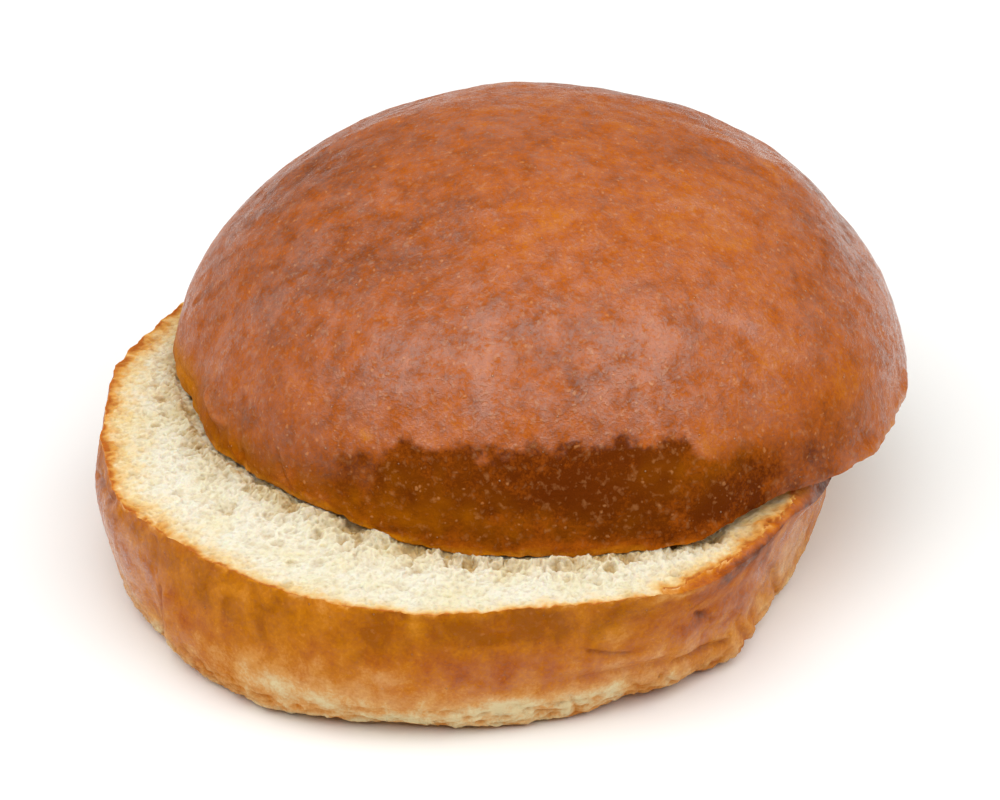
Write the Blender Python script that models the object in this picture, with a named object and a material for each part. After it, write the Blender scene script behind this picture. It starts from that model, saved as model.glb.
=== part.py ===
"""A round brioche bun, sliced through the middle and left open, in Blender 4.5. Metres, +Z up.

The heel is the lower half, with its cut face up. The crown is the domed top half. It lies on the
heel with its own cut face down, pushed back and to the right, so that a crescent of the heel's
crumb shows along the front and the left.

The origin is the middle of the heel's flat underside. The front of the bun is at -Y, its right at
+X. Angles are in degrees round +Z from +X, so the front is at -90.
"""

import math

import bmesh
import bpy
from mathutils import Vector, noise

MM = 0.001

# Driving dimensions, in millimetres
BUN_RADIUS = 52.5
HEEL_HEIGHT = 21.0
CROWN_HEIGHT = 35.2
CROWN_SHIFT_X = 9.7
CROWN_SHIFT_Y = 13.8
SLICE_GAP = 0.3

# The crown is the top of an ellipsoid that is widest a little below the cut, and its top leans to
# the left. Over the last millimetres above the cut the crust runs straight to the rim
CROWN_WIDEST_HEIGHT = -1.3
CROWN_SWELL = -0.2
CROWN_TUCK_HEIGHT = 3.0
CROWN_TUCK_BULGE = 1.2
CROWN_LEAN = 0.8

# Upright sections of the heel, by their angle: how far the wall swells past the cut rim, how high
# it is widest, and the radius of the flat foot. The right side is pulled in under the bun
HEEL_SECTIONS = (
    (-150.0, 1.2, 12.0, 49.5),
    (-126.0, 2.0, 9.5, 49.6),
    (-105.0, 1.2, 10.0, 47.0),
    (-84.0, -0.4, 12.0, 46.8),
    (-60.0, -1.5, 11.0, 43.8),
    (-35.0, -2.0, 9.0, 41.0),
    (-10.0, -2.4, 13.0, 44.0),
    (20.0, 0.0, 12.0, 45.5),
    (60.0, 1.3, 12.0, 46.0),
    (100.0, 1.3, 12.0, 46.0),
    (140.0, 1.3, 12.0, 46.0),
    (180.0, 0.9, 11.0, 46.5),
)

# No part of the wall comes nearer to the table than this, only the flat foot
FOOT_CLEARANCE = 0.15

# Squares along one side of each cap's grid, and rows of faces down each side wall
CAP_SQUARES = 28
HEEL_UPPER_ROWS = 3
HEEL_LOWER_ROWS = 6
CROWN_SIDE_ROWS = 8
CROWN_TUCK_ROWS = 2

# The crown's top cap reaches down to this slope angle above the widest line
CROWN_CAP_ANGLE = 42.0
CROWN_TUCK_ANGLE = math.degrees(
    math.asin((CROWN_TUCK_HEIGHT - CROWN_WIDEST_HEIGHT) / (CROWN_HEIGHT - CROWN_WIDEST_HEIGHT))
)


def bump(distance, width):
    """1 in the middle, falling smoothly to 0 past about twice the width."""
    return math.exp(-((distance / width) ** 2))


def turn_between(angle, other):
    """The difference of two angles in degrees, between -180 and 180."""
    return (angle - other + 180.0) % 360.0 - 180.0


def swell(angle, lobes):
    """The sum of the lobes at this angle. Each lobe is its angle, its width in degrees and its size."""
    return sum(size * bump(turn_between(angle, middle), width) for middle, width, size in lobes)


def smooth_step(low, high, value):
    share = min(max((value - low) / (high - low), 0.0), 1.0)
    return share * share * (3.0 - 2.0 * share)


def curve_through(share, before, start, end, after):
    """A Catmull-Rom curve from start to end."""
    slope_in, slope_out = (end - before) / 2.0, (after - start) / 2.0
    bend = start - end
    cubic = (2.0 * bend + slope_in + slope_out) * share**3
    square = (-3.0 * bend - 2.0 * slope_in - slope_out) * share**2
    return cubic + square + slope_in * share + start


# Where the hand-shaped halves leave the circle: angle, width in degrees, millimetres outwards
HEEL_RIM_LOBES = (
    (-152.0, 7.0, 1.5),
    (-84.0, 11.0, -1.7),
    (-56.0, 8.0, 1.7),
    (-33.0, 7.0, -1.2),
    (157.0, 12.0, -1.1),
    (179.0, 12.0, -0.6),
    (60.0, 25.0, 0.8),
    (110.0, 18.0, -0.7),
)
CROWN_RIM_LOBES = (
    (179.0, 8.0, 0.4),
    (-163.0, 8.0, -1.1),
    (-138.0, 11.0, -0.9),
    (-112.0, 13.0, 0.5),
    (-69.0, 6.0, 1.0),
    (-53.0, 7.0, -1.4),
    (-31.0, 6.0, 0.7),
    (75.0, 22.0, 0.8),
    (125.0, 20.0, -0.8),
)

# At the left and the front the crown's crust hangs over its rim a little
CROWN_TUCK_LOBES = (
    (-171.0, 10.0, 0.7),
    (-90.0, 35.0, 0.5),
)

# The crown's rim is lifted off the heel at the front right
RIM_LIFT_ANGLE = -55.0
RIM_LIFT_WIDTH = 15.0
RIM_LIFT = 1.3

# How much of the rim's lobes is left on the widest line of each half
HEEL_LOBE_SHARE = 0.6
CROWN_LOBE_SHARE = 0.4

# Soft lumps in the crust and in the two cut faces, as how far apart they are and how high, in
# millimetres. The cut faces also lie a little deeper than their rims, from this share of the radius
HEEL_LUMPS = ((16.0, 0.35), (7.0, 0.2))
CROWN_LUMPS = ((24.0, 0.5), (9.0, 0.15))
CUT_LUMPS = ((11.0, 0.5), (6.0, 0.25))
CUT_DEPTH = 0.35
CUT_EDGE = 0.8

# Relief on the heel's crust. Each line starts and ends at an angle and a height above the table,
# and has a width and a height in millimetres: below zero is a crease, above zero a fold
HEEL_CRUST_LINES = (
    ((-145.0, 12.0), (-144.0, 3.0), 2.2, -1.2),
    ((-140.5, 12.0), (-140.0, 3.0), 2.4, 0.6),
    ((-166.0, 18.5), (-163.0, 14.5), 2.4, -1.1),
    ((-72.0, 8.5), (-52.0, 8.0), 2.2, -0.7),
    ((-52.0, 8.0), (-34.0, 6.5), 2.4, -1.2),
    ((-34.0, 6.5), (-15.0, 8.0), 2.4, -1.2),
    ((-47.0, 2.5), (-30.0, 3.0), 2.6, 0.9),
    ((-57.0, 14.5), (-52.0, 13.5), 2.2, -0.6),
    ((-24.0, 15.0), (-21.0, 5.0), 2.4, -0.6),
    ((8.0, 6.0), (30.0, 8.0), 2.6, -0.8),
    ((62.0, 5.0), (86.0, 7.0), 2.6, -0.8),
    ((128.0, 12.0), (126.0, 4.0), 2.4, -0.9),
)

# The edge of the heel's foot is scalloped, most of all at the front right: the waves as how many
# go round the bun and their size, and the heights between which they fade out
FOOT_WAVES = ((13, 0.45), (29, 0.4))
FOOT_WAVE_HEIGHTS = (0.5, 5.0)
FOOT_WAVE_LEAST = 0.4
FOOT_WAVE_LOBE = (-45.0, 40.0, 0.8)

# Relief on the crown's crust, each line from one point to another in plan, right and back of the
# crown's own middle, with a width and a height
CROWN_CRUST_LINES = (
    ((-20.0, -18.0), (-14.0, -24.0), 9.0, -1.0),
    ((-7.3, -9.0), (-7.3, -26.0), 3.2, 0.5),
    ((-12.0, 6.0), (-16.0, 14.0), 7.0, 0.6),
    ((17.0, 21.0), (20.0, 24.0), 4.0, 0.7),
    ((26.0, 18.5), (32.0, 15.0), 5.0, -0.6),
    ((32.0, 5.0), (37.5, 14.0), 3.2, 0.4),
    ((-44.5, -17.5), (-47.5, -14.0), 3.2, -0.8),
    ((-40.5, -27.0), (-42.5, -31.0), 3.2, -0.6),
    ((8.0, -44.0), (32.0, -36.0), 6.0, -0.4),
    ((-30.0, 34.0), (-8.0, 43.0), 7.0, -0.6),
)


def disc_from_square(u, v):
    """Where a point of the square from -1 to 1 goes in the unit disc: its radius and its angle."""
    if u == 0.0 and v == 0.0:
        return 0.0, 0.0
    if abs(u) >= abs(v):
        radius, angle = abs(u), 45.0 * v / u
        return radius, angle if u > 0.0 else angle + 180.0
    radius, angle = abs(v), 90.0 - 45.0 * u / v
    return radius, angle if v > 0.0 else angle + 180.0


def at_angle(angle, radius, height):
    turn = math.radians(angle)
    return Vector((radius * math.cos(turn), radius * math.sin(turn), height)) * MM


def angle_of(point):
    return math.degrees(math.atan2(point.y, point.x))


def cap(bm, place):
    """Adds a grid of squares, each corner put where place(radius share, angle) says."""
    made = bmesh.ops.create_grid(bm, x_segments=CAP_SQUARES, y_segments=CAP_SQUARES, size=1.0)
    for vert in made["verts"]:
        share, angle = disc_from_square(vert.co.x, vert.co.y)
        vert.co = place(share, angle)
    return made["verts"]


def extrude_rows(bm, edges, rows, place):
    """Extrudes the open edge loop once for each row, and puts each new corner where
    place(angle, share of the way down) says. Returns the last open loop."""
    for row in range(1, rows + 1):
        made = bmesh.ops.extrude_edge_only(bm, edges=edges)["geom"]
        for item in made:
            if isinstance(item, bmesh.types.BMVert):
                item.co = place(angle_of(item.co), row / rows)
        edges = [item for item in made if isinstance(item, bmesh.types.BMEdge) and item.is_boundary]
    return edges


def distance_to_line(point, start, end):
    run = end - start
    share = min(max((point - start).dot(run) / run.length_squared, 0.0), 1.0)
    return (point - (start + run * share)).length


def move_along_normals(bm, verts, height_at, flat):
    """Moves the corners along their normals by height_at(point), those in flat only sideways."""
    bm.normal_update()
    moves = [(vert, vert.normal * height_at(vert.co)) for vert in verts]
    for vert, move in moves:
        vert.co += Vector((move.x, move.y, 0.0)) if vert in flat else move


def lumps(point, sizes, seed):
    """Soft, even lumps. Each of the sizes is how far apart they are and how high, in millimetres."""
    shift = Vector((seed, 2.0 * seed, 3.0 * seed))
    return sum(height * noise.noise(point / (apart * MM) + shift) for apart, height in sizes)


def heel_rim_radius(angle):
    return BUN_RADIUS + swell(angle, HEEL_RIM_LOBES)


def heel_section(angle):
    """The swell, the widest height and the foot's radius at this angle, by a smooth curve
    through the sections on either side."""
    count = len(HEEL_SECTIONS)
    gaps = [(angle - section[0]) % 360.0 for section in HEEL_SECTIONS]
    before = min(range(count), key=gaps.__getitem__)
    near = [HEEL_SECTIONS[(before + step) % count] for step in (-1, 0, 1, 2)]
    share = gaps[before] / ((near[2][0] - near[1][0]) % 360.0)
    return [curve_through(share, *(section[item] for section in near)) for item in (1, 2, 3)]


def heel_widest_radius(angle):
    return BUN_RADIUS + HEEL_LOBE_SHARE * swell(angle, HEEL_RIM_LOBES) + heel_section(angle)[0]


def heel_widest_height(angle):
    return heel_section(angle)[1]


def foot_radius(angle):
    return heel_section(angle)[2]


def heel_wall_radius(angle, height):
    rim, widest = heel_rim_radius(angle), heel_widest_radius(angle)
    level, foot = heel_widest_height(angle), foot_radius(angle)
    if height >= level:
        return widest - (widest - rim) * ((height - level) / (HEEL_HEIGHT - level)) ** 2
    return foot + (widest - foot) * math.sqrt(1.0 - (1.0 - height / level) ** 2)


def heel_upper_wall(angle, share):
    """From the cut rim, at share 0, down to the widest line, at share 1."""
    height = HEEL_HEIGHT + (heel_widest_height(angle) - HEEL_HEIGHT) * share
    return at_angle(angle, heel_wall_radius(angle, height), height)


def heel_lower_wall(angle, share):
    """A quarter of an ellipse from the widest line, at share 0, down to the flat foot, at share 1."""
    height = heel_widest_height(angle) * (1.0 - math.sin(math.radians(90.0 * share)))
    return at_angle(angle, heel_wall_radius(angle, height), height)


def heel_cut_face(share, angle):
    """The heel's cut face dips softly between its rim and the middle, never above the cut."""
    point = at_angle(angle, share * heel_rim_radius(angle), HEEL_HEIGHT)
    dip = max(CUT_DEPTH + lumps(point, CUT_LUMPS, 4.0), 0.0)
    point.z -= MM * dip * (1.0 - smooth_step(CUT_EDGE, 1.0, share))
    return point


def heel_crust_height(point):
    angle = angle_of(point)
    total = lumps(point, HEEL_LUMPS, 1.0)
    for start, end, width, height in HEEL_CRUST_LINES:
        ends = [at_angle(turn, heel_wall_radius(turn, level), level) for turn, level in (start, end)]
        total += height * bump(distance_to_line(point, *ends), width * MM)
    waves = sum(size * math.sin(math.radians(count * angle)) for count, size in FOOT_WAVES)
    near_foot = 1.0 - smooth_step(*FOOT_WAVE_HEIGHTS, point.z / MM)
    strength = FOOT_WAVE_LEAST + swell(angle, (FOOT_WAVE_LOBE,))
    return MM * (total + waves * near_foot * strength)


def make_heel(bm):
    cap_verts = cap(bm, heel_cut_face)
    rim = {vert for vert in cap_verts if vert.is_boundary}
    edges = [edge for edge in bm.edges if edge.is_boundary]
    edges = extrude_rows(bm, edges, HEEL_UPPER_ROWS, heel_upper_wall)
    edges = extrude_rows(bm, edges, HEEL_LOWER_ROWS, heel_lower_wall)
    foot = {vert for edge in edges for vert in edge.verts}
    crust = rim | (set(bm.verts) - set(cap_verts))
    bmesh.ops.contextual_create(bm, geom=edges)
    bmesh.ops.recalc_face_normals(bm, faces=bm.faces)
    move_along_normals(bm, crust, heel_crust_height, rim | foot)
    for vert in crust:
        vert.co.z = 0.0 if vert in foot else max(vert.co.z, FOOT_CLEARANCE * MM)


def crown_rim_radius(angle):
    return BUN_RADIUS + swell(angle, CROWN_RIM_LOBES)


def crown_widest_radius(angle):
    overhang = CROWN_SWELL + swell(angle, CROWN_TUCK_LOBES)
    return BUN_RADIUS + CROWN_LOBE_SHARE * swell(angle, CROWN_RIM_LOBES) + overhang


def rim_lift(angle):
    return RIM_LIFT * bump(turn_between(angle, RIM_LIFT_ANGLE), RIM_LIFT_WIDTH)


def crown_dome(angle, slope):
    """A point of the dome. The slope angle is 0 on the widest line and 90 at the top."""
    turn = math.radians(slope)
    uneven = (crown_widest_radius(angle) - BUN_RADIUS - CROWN_SWELL) * math.cos(turn) ** 2
    radius = (BUN_RADIUS + CROWN_SWELL) * math.cos(turn) + uneven
    height = CROWN_WIDEST_HEIGHT + (CROWN_HEIGHT - CROWN_WIDEST_HEIGHT) * math.sin(turn)
    return at_angle(angle, radius, height)


def crown_top(share, angle):
    return crown_dome(angle, 90.0 - share * (90.0 - CROWN_CAP_ANGLE))


def crown_side(angle, share):
    """From the top cap's edge, at share 0, down to the foot of the dome, at share 1."""
    return crown_dome(angle, CROWN_CAP_ANGLE + (CROWN_TUCK_ANGLE - CROWN_CAP_ANGLE) * share)


def crown_tuck(angle, share):
    """From the foot of the dome, at share 0, in and down to the cut rim, at share 1."""
    edge = crown_dome(angle, CROWN_TUCK_ANGLE)
    rim = at_angle(angle, crown_rim_radius(angle), rim_lift(angle))
    return edge.lerp(rim, share) + at_angle(angle, CROWN_TUCK_BULGE * share * (1.0 - share), 0.0)


def crown_cut_face(share, angle):
    """The crown's cut face rises softly between its rim and the middle, never below the cut."""
    point = at_angle(angle, share * crown_rim_radius(angle), 0.0)
    rise = max(CUT_DEPTH + lumps(point, CUT_LUMPS, 14.0), 0.0)
    point.z += MM * rise * (1.0 - smooth_step(CUT_EDGE, 1.0, share))
    point.z += MM * rim_lift(angle) * smooth_step(CUT_EDGE, 1.0, share)
    return point


def crown_crust_height(point):
    total = lumps(point, CROWN_LUMPS, 2.0)
    plan = Vector((point.x, point.y, 0.0))
    for start, end, width, height in CROWN_CRUST_LINES:
        ends = [Vector((x * MM, y * MM, 0.0)) for x, y in (start, end)]
        total += height * bump(distance_to_line(plan, *ends), width * MM)
    return MM * total


def make_crown(bm):
    cap(bm, crown_top)
    edges = [edge for edge in bm.edges if edge.is_boundary]
    edges = extrude_rows(bm, edges, CROWN_SIDE_ROWS, crown_side)
    edges = extrude_rows(bm, edges, CROWN_TUCK_ROWS, crown_tuck)
    crust = set(bm.verts)
    cap(bm, crown_cut_face)
    seam = {vert for vert in bm.verts if vert.is_boundary}
    bmesh.ops.remove_doubles(bm, verts=list(seam), dist=0.01 * MM)
    rim = {vert for vert in seam if vert.is_valid}
    crust = {vert for vert in crust if vert.is_valid} | rim
    for vert in crust - rim:
        vert.co.x -= vert.co.z * CROWN_LEAN / CROWN_HEIGHT
    bmesh.ops.recalc_face_normals(bm, faces=bm.faces)
    move_along_normals(bm, crust, crown_crust_height, rim)


def crust_material(name, colour, roughness):
    material = bpy.data.materials.new(name)
    material.use_nodes = True
    shader = material.node_tree.nodes["Principled BSDF"]
    shader.inputs["Base Color"].default_value = (*colour, 1.0)
    shader.inputs["Roughness"].default_value = roughness
    shader.inputs["Metallic"].default_value = 0.0
    return material


def make_object(name, build, location, material):
    bm = bmesh.new()
    build(bm)
    mesh = bpy.data.meshes.new(name)
    bm.to_mesh(mesh)
    bm.free()
    mesh.materials.append(material)
    mesh.shade_smooth()
    mesh.set_sharp_from_angle(angle=math.radians(40.0))
    made = bpy.data.objects.new(name, mesh)
    made.location = location
    bpy.context.scene.collection.objects.link(made)
    return made


def main():
    for old in list(bpy.data.objects):
        bpy.data.objects.remove(old, do_unlink=True)
    baked = crust_material("baked dough", (0.60, 0.30, 0.10), 0.5)
    glazed = crust_material("glazed crust", (0.36, 0.12, 0.04), 0.3)
    make_object("heel", make_heel, (0.0, 0.0, 0.0), baked)
    crown_place = Vector((CROWN_SHIFT_X, CROWN_SHIFT_Y, HEEL_HEIGHT + SLICE_GAP)) * MM
    make_object("crown", make_crown, crown_place, glazed)


main()
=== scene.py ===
"""A round, glazed brioche bun, sliced through the middle, with its crown set back on its heel.

Each half is a finely divided copy of its CAD solid, pushed in and out by its folds, pores and
wrinkles, and painted by how far the oven has browned each place, with painted shade in its creases,
pores and under the crown, and a painted sheen and glints on the glaze. Sizes are in millimetres
unless a name or a comment says otherwise, and angles in degrees round +Z from +X, so the front is
at -90.
"""

import math

import bmesh
import bpy
import numpy as np
from bpy.props import FloatProperty, FloatVectorProperty, PointerProperty
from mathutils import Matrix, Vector, kdtree, noise


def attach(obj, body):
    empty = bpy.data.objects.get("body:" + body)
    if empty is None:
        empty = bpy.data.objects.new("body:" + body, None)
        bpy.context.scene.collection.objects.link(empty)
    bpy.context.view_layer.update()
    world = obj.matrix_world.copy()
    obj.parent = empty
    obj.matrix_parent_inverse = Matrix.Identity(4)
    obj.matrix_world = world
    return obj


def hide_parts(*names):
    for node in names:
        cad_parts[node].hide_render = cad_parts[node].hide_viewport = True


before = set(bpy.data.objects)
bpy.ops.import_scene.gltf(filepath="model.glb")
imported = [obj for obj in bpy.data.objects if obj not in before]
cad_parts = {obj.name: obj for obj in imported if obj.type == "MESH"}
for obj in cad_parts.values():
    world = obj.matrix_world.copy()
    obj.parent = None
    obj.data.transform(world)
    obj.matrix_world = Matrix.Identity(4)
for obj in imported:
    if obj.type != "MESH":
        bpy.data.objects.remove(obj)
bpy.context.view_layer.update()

bl_info = {
    "name": "Sliced brioche bun",
    "version": (1, 0, 0),
    "blender": (4, 5, 0),
    "location": "3D View > Sidebar > Bun",
    "description": "Adds the two halves of a sliced brioche bun and a plain studio for them",
    "category": "Add Mesh",
}

MM = 0.001

# The bun's main sizes, which are the CAD solids'
BUN_RADIUS = 52.5
HEEL_TOP = 21.0
CROWN_FOOT = 21.3
CROWN_MIDDLE = (9.7, 13.8)
FRONT = -90.0

# The two material slots of each half
CRUST, CRUMB = 0, 1

# In radians: where two faces meet at more than this, the edge between them stays sharp
SHARP_EDGE = 0.8

# The rim of each half wavers in a band this far to both sides, and most within the second width
RIM_BAND = 3.0
RIM_HOLD = 1.3


def linear(hex_colour):
    """A linear colour from its sRGB hex value."""
    parts = [int(hex_colour[start : start + 2], 16) / 255.0 for start in (0, 2, 4)]
    bent = [((part + 0.055) / 1.055) ** 2.4 if part > 0.04045 else part / 12.92 for part in parts]
    return (*bent, 1.0)


def colour_setting(name, description, hex_colour):
    return FloatVectorProperty(
        name=name,
        description=description,
        subtype="COLOR",
        size=4,
        min=0.0,
        max=1.0,
        default=linear(hex_colour),
    )


def length_setting(name, description, size):
    """A length in metres, from its size in millimetres."""
    return FloatProperty(
        name=name, description=description, unit="LENGTH", min=0.0, precision=5, default=size * MM
    )


class BunCrustSettings(bpy.types.PropertyGroup):
    pale: colour_setting("Pale crust", "Crust that hardly browned, at the foot of the heel", "DECA9B")
    tan: colour_setting("Tan crust", "Lightly baked crust, low on the heel's side", "D69C58")
    golden: colour_setting("Golden crust", "Crust that is half way baked", "C27216")
    brown: colour_setting("Brown crust", "Well baked crust under the glaze", "A8520D")
    deep: colour_setting("Deep brown crust", "The most baked crust", "5E2602")
    amber: colour_setting("Amber patches", "Patches of clear golden crust, lightly baked", "CC7E04")
    olive: colour_setting("Olive patches", "Patches of clear golden crust, well baked", "9A5300")
    # Partly painted glints: the flecks' colour stands for pale spots in the skin and for glints of light on
    # its grain.
    fleck_and_glint: colour_setting("Flecks", "Small pale flecks and blotches in the skin", "D9975C")
    blister: colour_setting("Blisters", "Pinpoint blisters in the glaze", "E8C6A0")
    # Painted sheen: a pinkish colour mixed in where the glaze's coat lies, standing for its reflections.
    painted_sheen: colour_setting("Bloom", "The pinkish haze of the dried glaze", "D4B4A6")
    grain: length_setting("Skin grain", "Size of the skin's fine grain", 0.45)
    blotch: length_setting("Blotches", "Size of the faint pale blotches", 0.9)
    fleck_gap: length_setting("Fleck distance", "Distance between the small pale flecks", 1.1)
    mottle: length_setting("Mottles", "Size of the brown mottles", 3.4)
    patch: length_setting("Glaze patches", "Size of the patches where the glaze lies thicker", 2.8)
    cloud: length_setting("Clouds", "Size of the broad changes of tone", 15.0)


class BunCrumbSettings(bpy.types.PropertyGroup):
    cream: colour_setting("Cream crumb", "The crumb's own colour", "E7E2CC")
    butter: colour_setting("Buttery crumb", "The yellower patches in the crumb", "E3DAB6")
    # Painted shade: the crumb takes this colour deep between its tufts, in its pores and holes, and under
    # the crown's rim.
    shade: colour_setting("Pores", "The colour deep between the tufts", "AC884A")
    blush: colour_setting("Warm crumb", "The crumb a few millimetres inside the crust", "FFE9C4")
    toast: colour_setting("Toasted crumb", "The crumb next to the crust", "EFB262")
    edge: colour_setting("Crust line", "The crust's cut edge round the crumb", "C46F22")
    large_pore: length_setting("Large pores", "Distance between the large pores", 3.0)
    small_pore: length_setting("Small pores", "Distance between the small pores", 1.15)
    tuft: length_setting("Tufts", "Size of the crumb's small tufts", 0.85)
    pore_depth: length_setting("Pore depth", "Depth of the large pores", 0.5)
    toast_width: length_setting("Toasted width", "How far the toasted edge reaches in", 1.9)


class BunStageSettings(bpy.types.PropertyGroup):
    floor: colour_setting("Floor", "The pale floor", "F4F4F2")
    floor_width: length_setting("Floor width", "Width of the square floor", 6000.0)
    key: FloatProperty(name="Softbox", description="Brightness of the overhead softbox", default=2.5)
    fill: FloatProperty(name="Side panels", description="Brightness of the side panels", default=0.5)
    room: FloatProperty(name="Room", description="Brightness of the dim room", default=0.08)


# Meshes


def points_of(mesh):
    """The corners of a mesh, in millimetres, one row each."""
    flat = np.empty(len(mesh.vertices) * 3)
    mesh.vertices.foreach_get("co", flat)
    return flat.reshape(-1, 3) / MM


def normals_of(mesh):
    flat = np.empty(len(mesh.vertices) * 3)
    mesh.vertex_normals.foreach_get("vector", flat)
    return flat.reshape(-1, 3)


def move_points(mesh, points):
    mesh.vertices.foreach_set("co", (points * MM).ravel())
    mesh.update()


def keep_values(mesh, **values):
    """Keeps numbers for each corner under their names, for the materials to read."""
    for name, numbers in values.items():
        layer = mesh.attributes.new(name, "FLOAT", "POINT")
        layer.data.foreach_set("value", np.asarray(numbers, np.float32))


def corners_with(mesh, slot):
    """Which corners belong to a face with that material slot."""
    found = np.zeros(len(mesh.vertices), bool)
    for polygon in mesh.polygons:
        if polygon.material_index == slot:
            found[list(polygon.vertices)] = True
    return found


def even_copy(node, is_cut_face):
    """A merged copy of a CAD half in quads, divided evenly, with a sharp edge round its cut face."""
    bm = bmesh.new()
    bm.from_mesh(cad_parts[node].data)
    bmesh.ops.remove_doubles(bm, verts=bm.verts[:], dist=0.005 * MM)
    bmesh.ops.join_triangles(
        bm,
        faces=bm.faces[:],
        angle_face_threshold=math.radians(45.0),
        angle_shape_threshold=math.radians(100.0),
    )
    bm.normal_update()
    crease = bm.edges.layers.float.new("crease_edge")
    for face in bm.faces:
        face.smooth = True
        face.material_index = CRUMB if is_cut_face(face) else CRUST
    for edge in bm.edges:
        slots = {face.material_index for face in edge.link_faces}
        edge.smooth = len(slots) == 1
        edge[crease] = float(len(slots) > 1)
    mesh = bpy.data.meshes.new(node + "_coarse")
    bm.to_mesh(mesh)
    bm.free()
    for name in ("custom_normal", "UVMap"):
        if name in mesh.attributes:
            mesh.attributes.remove(mesh.attributes[name])
    for slot in (CRUST, CRUMB):
        mesh.materials.append(None)
    holder = bpy.data.objects.new(node + "_coarse", mesh)
    bpy.context.scene.collection.objects.link(holder)
    rounding = holder.modifiers.new("Round", "SUBSURF")
    rounding.levels = rounding.render_levels = 2
    graph = bpy.context.evaluated_depsgraph_get()
    made = bpy.data.meshes.new_from_object(holder.evaluated_get(graph))
    bpy.data.objects.remove(holder)
    bpy.data.meshes.remove(mesh)
    return made


def divide(mesh, wanted):
    """Halves the sides of the faces for which wanted(face, its middle in millimetres) is true."""
    bm = bmesh.new()
    bm.from_mesh(mesh)
    edges = {
        edge
        for face in bm.faces
        if wanted(face, face.calc_center_median() / MM)
        for edge in face.edges
    }
    bmesh.ops.subdivide_edges(bm, edges=list(edges), cuts=1, use_grid_fill=True)
    bmesh.ops.triangulate(bm, faces=[face for face in bm.faces if len(face.verts) > 4])
    bm.to_mesh(mesh)
    bm.free()


def take_as_crust(mesh, chosen):
    """Gives the crumb faces for which chosen(face, its middle in millimetres) is true to the crust."""
    bm = bmesh.new()
    bm.from_mesh(mesh)
    for face in bm.faces:
        if face.material_index == CRUMB and chosen(face, face.calc_center_median() / MM):
            face.material_index = CRUST
    for edge in bm.edges:
        edge.smooth = edge.calc_face_angle(0.0) < SHARP_EDGE
    bm.to_mesh(mesh)
    bm.free()


def distance_from_rim(mesh, points):
    """How far each corner is from the edge between crust and crumb."""
    rim = np.flatnonzero(corners_with(mesh, CRUST) & corners_with(mesh, CRUMB))
    tree = kdtree.KDTree(len(rim))
    for index in rim:
        tree.insert(points[index], int(index))
    tree.balance()
    return np.array([tree.find(point)[2] for point in points])


def add_piece(name, mesh, materials, node):
    """Shows the mesh as the finished piece that stands for a CAD node."""
    mesh.name = name
    for slot_number, material in enumerate(materials):
        mesh.materials[slot_number] = material
    piece = bpy.data.objects.new(name, mesh)
    bpy.context.scene.collection.objects.link(piece)
    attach(piece, "root")
    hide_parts(node)
    return piece


# Relief


def noise_at(points, size, seed, octaves=1):
    """Smooth noise, about -1 to 1, whose lumps are size apart."""
    shift = Vector((seed, 2.0 * seed, 3.0 * seed))
    if octaves == 1:
        return np.array([noise.noise(Vector(point) / size + shift) for point in points])
    return np.array(
        [noise.fractal(Vector(point) / size + shift, 0.8, 2.0, octaves) for point in points]
    )


def pores_at(points, size, radius, seed):
    """How deep each point lies in a round pore, 0 to 1. The flat cut runs through a foam of
    bubbles size apart, so it opens some wide and only grazes others."""
    shift = Vector((seed, 2.0 * seed, 3.0 * seed))
    found = np.empty(len(points))
    for index, point in enumerate(points):
        near = noise.voronoi(Vector(point) / size + shift)[0][0]
        found[index] = math.sqrt(max(1.0 - (near / radius) ** 2, 0.0))
    return found


def turns_from(points, angle, middle=(0.0, 0.0)):
    """The angle of each point round the middle, from the given angle, between -180 and 180."""
    found = np.degrees(np.arctan2(points[:, 1] - middle[1], points[:, 0] - middle[0]))
    return (found - angle + 180.0) % 360.0 - 180.0


def unrolled(points, base=0.0, middle=(0.0, 0.0)):
    """The side laid flat: how far round from the front, and how high above the base."""
    along = np.radians(turns_from(points, FRONT, middle)) * BUN_RADIUS
    return np.column_stack([along, points[:, 2] - base])


def on_side(angle, height):
    """Where an angle and a height lie on the unrolled side."""
    turn = (angle - FRONT + 180.0) % 360.0 - 180.0
    return np.array([math.radians(turn) * BUN_RADIUS, height])


def bump(distance, width):
    """1 in the middle, falling smoothly to 0 past about twice the width."""
    return np.exp(-((distance / width) ** 2))


def blend_step(low, high, values):
    share = np.clip((values - low) / (high - low), 0.0, 1.0)
    return share * share * (3.0 - 2.0 * share)


def distance_to_path(flat, path):
    """How far each flat point is from a path of straight runs."""
    best = np.full(len(flat), np.inf)
    for start, end in zip(path, path[1:]):
        run = end - start
        share = np.clip((flat - start) @ run / (run @ run), 0.0, 1.0)
        away = np.linalg.norm(flat - start - share[:, None] * run, axis=1)
        best = np.minimum(best, away)
    return best


def lines_relief(flat, lines, place=None):
    """The sum of creases, which have a height below zero, and folds."""
    total = np.zeros(len(flat))
    for path, width, height in lines:
        corners = [place(*corner) if place else np.array(corner) for corner in path]
        total += height * bump(distance_to_path(flat, corners), width)
    return total


def patches(flat, spots, place=None):
    """The sum of soft oval spots. Each is its place, its half width, its half height and its change."""
    total = np.zeros(len(flat))
    for where, half_width, half_height, change in spots:
        offset = (flat - (place(*where) if place else np.array(where))) / (half_width, half_height)
        total += change * np.exp(-((offset**2).sum(axis=1)))
    return total


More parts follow.
